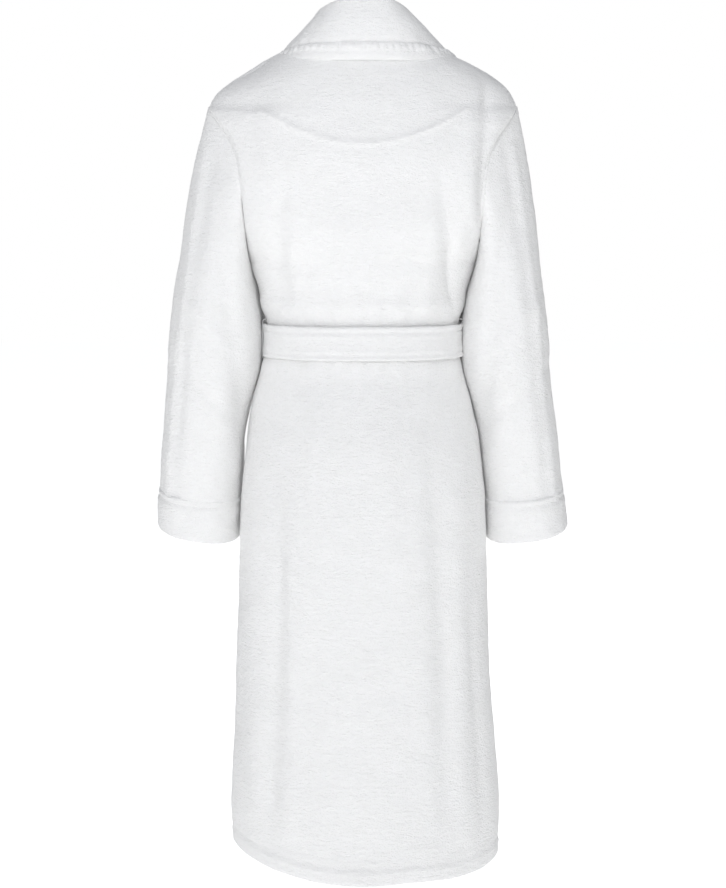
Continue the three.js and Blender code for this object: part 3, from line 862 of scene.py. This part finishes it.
def make_sleeve(side):
    name = SIDES[side]
    angles = np.linspace(0, 2 * math.pi, SLEEVE_COLUMNS, endpoint=False)
    low = cuff_line(angles, CUFF_TOP - 4, *CUFF_TOP_SLANT)[None, :]
    z = SPLIT_Z + (low - SPLIT_Z) * np.linspace(0, 1, LOWER_ROWS)[1:, None]
    lower = sleeve_ring(side, angles[None, :], z)
    base = np.concatenate([upper_part(side, angles), lower])
    relief = sleeve_relief(base, side, np.linspace(0, 1, len(base))[:, None])
    outer, inner, shade = layers(base, CLOTH, relief, wrap=True,
                                 facing=away_from(SLEEVE_CENTRE, side))
    upper, lower = slice(0, UPPER_ROWS), slice(UPPER_ROWS - 1, None)
    top = shell(f"{name}_sleeve_cloth", outer[upper], inner[upper], True, ("bottom",),
                shade[upper])
    rest = shell(f"{name}_forearm_cloth", outer[lower], inner[lower], True, ("top",),
                 shade[lower])
    over, under = OVER_WAY * (side, 1, 1), UNDER_WAY * (side, 1, 1)
    normal = over / OVER_REACH - under / UNDER_REACH
    offset = (OVER_START / OVER_REACH - UNDER_START / UNDER_REACH) * MM
    point = normal * offset / (normal @ normal)
    underarm, outside = cut(top, point, normal)
    underarm.name = f"{name}_underarm_cloth"
    outside.name = f"{name}_sleeve_cloth"
    node = f"{name}_upper_sleeve"
    for part, way, start, reach in ((outside, over, OVER_START, OVER_REACH),
                                    (underarm, under, UNDER_START, UNDER_REACH)):
        finish_piece(part, TERRY, "terry", node)
        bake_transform(part)
    finish_piece(rest, TERRY, "terry", f"{name}_forearm_sleeve")
    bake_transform(rest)


CUFF_CLOTH = 6.5
CUFF_STAND_OUT = 1.1
CUFF_FLARE = 1.2
CUFF_ROWS, CUFF_COLUMNS = 18, 132
CUFF_RADIUS = 65
CUFF_CENTRE = np.array([232, -34, 0])


def make_cuff(side):
    name = SIDES[side]
    angles = np.linspace(0, 2 * math.pi, CUFF_COLUMNS, endpoint=False)[None, :]
    top = cuff_line(angles, CUFF_TOP, *CUFF_TOP_SLANT)
    bottom = cuff_line(angles, CUFF_BOTTOM - 1, *CUFF_BOTTOM_SLANT)
    share = np.linspace(0, 1, CUFF_ROWS)[:, None]
    z = top + (bottom - top) * share
    base = sleeve_ring(side, angles, z)
    away = away_from(CUFF_CENTRE, side)
    base = base + unit(away(base)) * (CUFF_STAND_OUT + CUFF_FLARE * share)[..., None]
    relief = stitch_row(top - z - 5, angles * CUFF_RADIUS, 1.1)
    relief = relief + noise(base, 40) + smooth(0.1, 0.3, share)
    piece = cloth_piece(f"{name}_cuff_cloth", f"{name}_cuff", f"{name}_forearm",
                        base, CUFF_CLOTH, relief, wrap=True, facing=away)


# ---- shawl collar

LAPEL_BOTTOM = -362
LAPEL_TOP, LAPEL_STATIONS = -44, 15
COLLAR_SEAM = 0.74
lapel_width = profile([(-20, 62), (-90, 78), (-190, 84), (-290, 66), (LAPEL_BOTTOM, 40)])
# The collar's fold and its edge round the neck, from the front to the middle of the back.
NECK_FOLD = [(76, -58, 2), (72, -22, 34), (64, 6, 56), (51, 34, 69), (32, 54, 75), (0, 61, 75)]
NECK_EDGE = [(131, -48, -12), (129, -8, -5), (118, 26, -6), (95, 52, -9), (56, 71.5, -11),
             (0, 77.5, -11)]
NECK_BULGE = 4
# The collar's edge leans towards the wearer's right, and lies lower on each shoulder.
COLLAR_LEAN = 5
COLLAR_DROP = {LEFT: 7.0, RIGHT: 4.0}
LAPEL_DROP = 10


def on_lapel(side, z, across):
    """Points of a lapel, over the body or over the right front, at shares across the collar."""
    x = left_edge(z) + lapel_width(z) * across
    lower = z - LAPEL_DROP * across
    stack = right_lift(side * x, lower) if side == RIGHT else 0 * x
    return off_body(FRONT, side * turn_at(x, lower), lower, stack + LAPEL_GAP + COLLAR_CLOTH)


def neck_station(side, fold_point, edge_point, across):
    """One line across the collar round the neck, bulging a little."""
    share = across[:, None]
    point = np.array(fold_point) * (1 - share) + np.array(edge_point) * share
    away = unit(point * (1, 1, 0) + (0, 0, 30))
    point = (point + away * NECK_BULGE * np.sin(math.pi * share)) * (side, 1, 1)
    drop = COLLAR_DROP[side] * smooth(85, 118, edge_point[0])
    return point - np.array([COLLAR_LEAN * smooth(-14, -4, edge_point[2]), 0, drop]) * share


def spline(rows, count):
    """A smooth curve through rows of points, as count rows spaced evenly along it."""
    gaps = np.linalg.norm(np.diff(rows, axis=0), axis=-1).mean(axis=1)
    place = np.concatenate([[0], np.cumsum(gaps)])
    slope = np.gradient(rows, place, axis=0)
    at = np.linspace(0, place[-1], count)
    i = np.clip(np.searchsorted(place, at, side="right") - 1, 0, len(gaps) - 1)
    step = gaps[i][:, None, None]
    t = ((at - place[i]) / gaps[i])[:, None, None]
    return hermite(t, rows[i], slope[i] * step, rows[i + 1], slope[i + 1] * step)


def collar_grid(across, count):
    """The collar between the feet of its lapels, left first, at shares across from its fold."""
    halves = []
    for side in (LEFT, RIGHT):
        heights = np.linspace(LAPEL_BOTTOM, LAPEL_TOP, LAPEL_STATIONS)
        lapel = [on_lapel(side, z + 0 * across, across) for z in heights]
        neck = [neck_station(side, f, e, across) for f, e in zip(NECK_FOLD, NECK_EDGE)]
        halves.append(lapel + neck)
    return spline(np.array(halves[0] + halves[1][::-1][1:]), count)


# The collar's fold ends in a small roll towards the neck.
ROLL_START = 0.085
ROLL_RADIUS = 6.5
ROLL_TURN = math.radians(150)
COLLAR_COLUMNS, BAND_COLUMNS = 420, 520
COLLAR_PUCKER, BAND_PUCKER = 6.5, 9


def collar_outward(points):
    """Up and away from the neck behind it, and straight off the fronts below."""
    low = smooth(-20, -80, points[..., 2])[..., None]
    return (points * (1, 1, 0) + (0, 0, 40)) * (1 - low) + np.array([0, -100, 0]) * low


def make_collar():
    across = np.linspace(ROLL_START, COLLAR_SEAM, 19)
    body = collar_grid(across, COLLAR_COLUMNS)
    ahead = unit(body[:, 0] - body[:, 1])
    normal = normals_of(body)
    if np.sum(normal * collar_outward(body)) < 0:
        normal = -normal
    turn = np.linspace(ROLL_TURN, 0, 9)[:-1, None]
    roll = [body[:, 0] + ROLL_RADIUS * (np.sin(a) * ahead - (1 - np.cos(a)) * normal[:, 0])
            for a in turn]
    base = np.concatenate([np.stack(roll, axis=1), body], axis=1)
    seam = np.linalg.norm(base - base[:, -1:], axis=-1)
    along = 2.4 * np.arange(len(base))[:, None] + 0 * seam
    pucker = noise(np.stack([along, seam, 0 * seam], -1), COLLAR_PUCKER, 5.5)
    relief = 1.5 * noise(base, 55) + 0.8 * noise(base, 24, 2.2)
    relief = relief + 1.3 * pucker * bell(seam - 3, 5) - 1.3 * bell(seam, 2.4)
    piece = cloth_piece("collar_cloth", "shawl_collar", "robe", base, COLLAR_CLOTH, relief,
                        facing=collar_outward)


BAND_THICK = 8.0


def make_collar_band():
    across = np.linspace(COLLAR_SEAM + 0.012, 1.0, 12)
    base = collar_grid(across, BAND_COLUMNS)
    seam = np.linalg.norm(base - base[:, :1], axis=-1)
    share = np.clip(seam / seam[:, -1:], 0, 1)
    along = 2.2 * np.arange(len(base))[:, None] + 0 * seam
    pucker = noise(np.stack([along, 0.8 * seam, 0 * seam], -1), BAND_PUCKER, 8.5)
    pucker = pucker + 0.5 * np.sin(along * 0.62 + 3 * noise(base, 30, 6.1))
    pucker = pucker * (0.5 + 0.6 * smooth(-50, -10, base[..., 2]))
    relief = 1.4 * np.sin(math.pi * share) ** 0.7 + 0.9 * noise(base, 24, 2.2)
    relief = relief + 1.7 * pucker * bell(seam - 6, 6)
    relief = relief - 1.4 * bell(seam, 2.4) - 0.9 * bell(seam - 13, 2)
    piece = cloth_piece("collar_band_cloth", "collar_edge_band", "robe", base, BAND_THICK, relief,
                        facing=collar_outward)


STAND_BASE = [(76, 4, 14), (73, 26, 13), (59, 44, 12), (33, 54, 12), (0, 57, 12)]
STAND_TOP = [(59, 5, 38), (55, 19, 48), (42, 34, 58), (24, 45, 66), (0, 51, 67)]
STAND_CLOTH = 4


def make_stand():
    share = np.linspace(0, 1, 16)[:, None]
    half = [b * (1 - share) + t * share for b, t in zip(np.array(STAND_BASE), np.array(STAND_TOP))]
    stations = half + [row * (-1, 1, 1) for row in half[:-1][::-1]]
    base = spline(np.array(stations), 84)
    piece = cloth_piece("collar_stand_cloth", "collar_stand", "robe", base, STAND_CLOTH,
                        noise(base, 30), facing=lambda p: p * (1, 1, 0) + (0, 20, 0))


# ---- inside the neck

FACING_HALF_WIDTH = 145
FACING_CLOTH, LABEL_CLOTH = 3, 0.7
FACING_INSIDE, LABEL_INSIDE = -5.8, -9.9
LABEL_LOOK = (SATIN, "label")


def inside_back(x, z, out):
    """A surface inside the back of the robe, and the relief of the back there for it to follow."""
    base = off_body(BACK, turn_at(x, z), z, out + 0 * x)
    return base, drape(base, BACK_FOLDS)


def make_facing():
    x, t = grid((-FACING_HALF_WIDTH, FACING_HALF_WIDTH, 74), (0, 1, 28))
    share = (x / FACING_HALF_WIDTH) ** 2
    top, bottom = -6 - 56 * share, -123 + 48 * share
    base, relief = inside_back(x, top + (bottom - top) * t, FACING_INSIDE)
    piece = cloth_piece("facing_cloth", "back_neck_facing", "robe", base, FACING_CLOTH, relief, 0.1)


def make_neck_label():
    x, z = grid((-26, 26, 20), (-62, -94, 14))
    base, relief = inside_back(x, z, LABEL_INSIDE)
    piece = cloth_piece("neck_label_satin", "neck_label", "robe", base, LABEL_CLOTH, relief, 0,
                        look=LABEL_LOOK)


def make_care_label():
    y, share = grid((-15, 15, 12), (0, 1, 20))
    x = 151.2 - 2.4 * share ** 2 + 0.9 * np.sin(5 * share) * y / 15
    base = np.stack([x, y, -520 - 58 * share], -1)
    piece = cloth_piece("care_label_satin", "care_label", "robe", base, LABEL_CLOTH, nap=0,
                        look=LABEL_LOOK)


TAPE_STEP, TAPE_COLUMNS, TAPE_CORNER_STEPS = 1.1, 9, 7


def tape_piece(name, node, body, corners, radius, width, thickness, place, facing):
    """A strip of tape bent round flat corners. place(across, path point) gives its 3-D points."""
    path = [np.array(corners[0], float)]
    for before, corner, after in zip(corners, corners[1:], corners[2:]):
        corner = np.array(corner, float)
        start = corner + unit(np.array(before) - corner) * radius
        end = corner + unit(np.array(after) - corner) * radius
        for t in np.linspace(0, 1, TAPE_CORNER_STEPS):
            path.append((1 - t) ** 2 * start + 2 * t * (1 - t) * corner + t * t * end)
    path.append(np.array(corners[-1], float))
    path = np.array(path)
    reach = np.concatenate([[0], np.cumsum(np.linalg.norm(np.diff(path, axis=0), axis=-1))])
    at = np.linspace(0, reach[-1], int(reach[-1] / TAPE_STEP))
    path = np.stack([np.interp(at, reach, path[:, i]) for i in (0, 1)], -1)
    across = np.linspace(-width / 2, width / 2, TAPE_COLUMNS)
    base = np.array([[place(a, point) for a in across] for point in path])
    return cloth_piece(name, node, body, base, thickness, nap=0, facing=facing, look=(TAPE, "tape"))


def make_hanging_loop():
    corners = [(-31, 8), (-31, -27), (31, -27), (31, 8)]
    piece = tape_piece("hanging_loop_tape", "hanging_loop", "loop", corners, 8, 9.8, 1.5,
                       lambda a, p: (p[0], 50 + a, p[1]), lambda p: p * (1, 0, 1) + (0, 0, 10))


def make_belt_loop(side):
    near, far = 135.2, 142.2
    corners = [(near, -371), (far, -373.4), (far, -428.6), (near, -431)]
    name = f"{SIDES[side]}_belt_loop"
    piece = tape_piece(f"{name}_tape", name, "robe", corners, 3, 10, 1.4,
                       lambda a, p: (side * p[0], a, p[1]), lambda p: p * (1, 0, 0))


# ---- belt

BELT_CLOTH = 5
BELT_SIDE_OUT = 5.9
BELT_FRONT_OUT = RIGHT_LIFT_HIGH + 0.8 + BELT_SIDE_OUT
BELT_SAG = 2.0
BELT_LOW = 5.0
BELT_ROWS, BELT_HALF_COLUMNS = 22, 121
BELT_STITCH_TOP, BELT_STITCH_BOTTOM = 6, 3.5


def make_belt():
    half = np.linspace(-RIGHT_ANGLE, RIGHT_ANGLE, BELT_HALF_COLUMNS)
    width = BELT_TOP - BELT_BOTTOM - BELT_CLOTH
    down = width * np.linspace(0, 1, BELT_ROWS)[:, None]
    rings = []
    for side, turn in ((BACK, half[None, :]), (FRONT, half[None, 1:-1][:, ::-1])):
        out = BELT_SIDE_OUT
        if side == FRONT:
            out += (BELT_FRONT_OUT - BELT_SIDE_OUT) * (1 - smooth(0.96, 1.40, np.abs(turn)))
        z = BELT_TOP - BELT_CLOTH / 2 - BELT_LOW * (1 + side * np.cos(turn)) / 2 - down
        ring = off_body(side, turn + 0 * down, z, out + 0 * z)
        ring[..., 2] -= BELT_SAG * np.sin(turn) ** 2
        rings.append(ring)
    base = np.concatenate(rings, axis=1)
    steps = np.linalg.norm(np.diff(base[10], axis=0), axis=-1)
    along = np.concatenate([[0], np.cumsum(steps)])[None, :]
    relief = stitch_row(down - BELT_STITCH_TOP, along, 1.3) + noise(base, 34, 2.6)
    relief = relief + stitch_row(width - down - BELT_STITCH_BOTTOM, along, 1.1)
    relief = relief + 0.5 * noise(base, 15, 7.1)
    relief = relief * smooth(4, 16, np.abs(base[..., 1])) + 0.5
    piece = cloth_piece("belt_cloth", "belt", "robe", base, BELT_CLOTH, relief, wrap=True)


KNOT_MIDDLE = np.array([0, -129.6, BELT_MIDDLE])
KNOT_COLUMNS = 96
CORE_HALF, CORE_ROWS, CORE_CLOTH = 29, 48, 4
WRAP_HALF, WRAP_ROWS, WRAP_CLOTH = 17, 34, 3.2


def knot_turn(name, half, rows, point, thickness):
    """One turn of the belt in its knot: a short tube of cloth with bunched folds."""
    x, a = grid((-half, half, rows), (0, 2 * math.pi, KNOT_COLUMNS, False))
    piece = cloth_piece(name, "belt_knot", "robe", KNOT_MIDDLE + point(x, a), thickness, wrap=True,
                        facing=lambda p: (p - KNOT_MIDDLE) * (0, 1, 1))


def make_knot():
    def core(x, a):
        flare = smooth(8, 29, np.abs(x))
        folds = 1.0 + 0.07 * np.sin(5 * a + x / 9) + 0.04 * np.sin(9 * a - x / 6)
        y, z = 9.0 * folds * np.cos(a), (17.5 + 4.5 * flare) * folds * np.sin(a)
        return np.stack([x, y * (1 - 0.15 * flare) + 1.5, z + 0.10 * x], -1)

    def wrap(x, a):
        folds = 1.0 + 0.025 * np.sin(x / 2.6) + 0.02 * np.sin(x / 1.7 + 2 * a)
        y, z = 13.0 * folds * np.cos(a), 23.6 * folds * np.sin(a)
        return np.stack([x * (1 - 0.12 * np.sin(a) ** 2) - 0.26 * z, y, z], -1)

    knot_turn("knot_core_cloth", CORE_HALF, CORE_ROWS, core, CORE_CLOTH)
    knot_turn("knot_wrap_cloth", WRAP_HALF, WRAP_ROWS, wrap, WRAP_CLOTH)


TAIL_CLOTH = 4.6
TAIL_ROWS, TAIL_COLUMNS = 112, 22
TAIL_TOP, TAIL_LENGTH = -411.5, 342
TAIL_TILT = math.radians(3)


def make_tail(side):
    name = SIDES[side]
    t, s = grid((0, 1, TAIL_ROWS), (-1, 1, TAIL_COLUMNS))
    fall = TAIL_LENGTH * t
    open_out = smooth(0, 0.2, t)
    half = 12 + 10 * open_out
    middle = 13 + 13 * open_out + np.maximum(0, fall - 12) * math.tan(TAIL_TILT)
    y = -134 - 7.5 * smooth(0, 0.09, t) + 1.3 * np.sin(7 * t + side) * smooth(0.1, 0.5, t)
    y = y + 2.2 * s * np.sin(4.4 * t + 2 * side) * smooth(0.1, 0.6, t)
    y = y - 2.4 * np.cos(1.5 * math.pi * s) * (1 - smooth(0, 0.3, t))
    base = np.stack([side * (middle + half * s), y, TAIL_TOP - fall], -1)
    edge = half * (1 - np.abs(s))
    relief = stitch_row(edge - 6, fall, 1.1) + stitch_row(TAIL_LENGTH - fall - 10, half * s, 1.1)
    relief = relief * smooth(0.04, 0.15, t) + 0.8 * noise(base, 40, 6.6)
    outer, inner, _ = layers(base, TAIL_CLOTH, relief, facing=lambda p: p * (0, 1, 0))
    piece = shell(f"{name}_tail_cloth", outer, inner)
    finish_piece(piece, TERRY, "terry", f"{name}_belt_tail")
    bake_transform(piece)


# ---- pockets

POCKET_INNER, POCKET_OUTER = 50, 140
POCKET_TOP, POCKET_BOTTOM = -525, -675
POCKET_BAND = 26
POCKET_POUCH = 15
POCKET_COLUMNS = 44
POCKET_GAP = 0.4
# How far the band stands out over the pocket, and how far the pocket runs up behind it.
BAND_STEP, BAND_OVERLAP = 1.4, 3


def pocket_piece(side, node, top, bottom, rows, step, stitch):
    """A patch on one front. stitch is the inset and the depth of the stitches along its foot."""
    z, t = grid((top, bottom, rows), (0, 1, POCKET_COLUMNS))
    near, far = turn_at(POCKET_INNER, z), turn_at(POCKET_OUTER, z)
    turn = side * (near + (far - near) * t)
    x = half_width(z) * np.sin(turn)
    lift = right_lift(x, z) if side == RIGHT else 0 * x
    full = smooth(POCKET_BOTTOM, POCKET_BOTTOM + 70, z) * np.sin(math.pi * t) ** 0.8
    out = lift + CLOTH + POCKET_GAP + step + POCKET_POUCH * full
    base = off_body(FRONT, turn, z, out)
    edge = (POCKET_OUTER - POCKET_INNER) * np.minimum(t, 1 - t)
    relief = drape(base, FRONT_FOLDS) + noise(base, 26, 9.4) * smooth(0, 12, edge)
    inset, depth = stitch
    relief = relief + stitch_row(edge - 4, z, 1.1) + stitch_row(z - bottom - inset, x, depth)
    name = f"{SIDES[side]}_{node}"
    piece = cloth_piece(f"{name}_cloth", name, "robe", base, CLOTH, relief)


def make_pocket(side):
    seam = POCKET_TOP - POCKET_BAND
    pocket_piece(side, "pocket", seam + BAND_OVERLAP, POCKET_BOTTOM, 40, 0, (4, 1.1))
    pocket_piece(side, "pocket_band", POCKET_TOP, seam, 14, BAND_STEP, (5, 1.2))


# ---- scene

make_camera()
make_studio()
make_back()
for side in SIDES:
    make_front(side)
    make_sleeve(side)
    make_cuff(side)
    make_belt_loop(side)
    make_tail(side)
    make_pocket(side)
make_collar()
make_collar_band()
make_stand()
make_facing()
make_neck_label()
make_care_label()
make_hanging_loop()
make_belt()
make_knot()
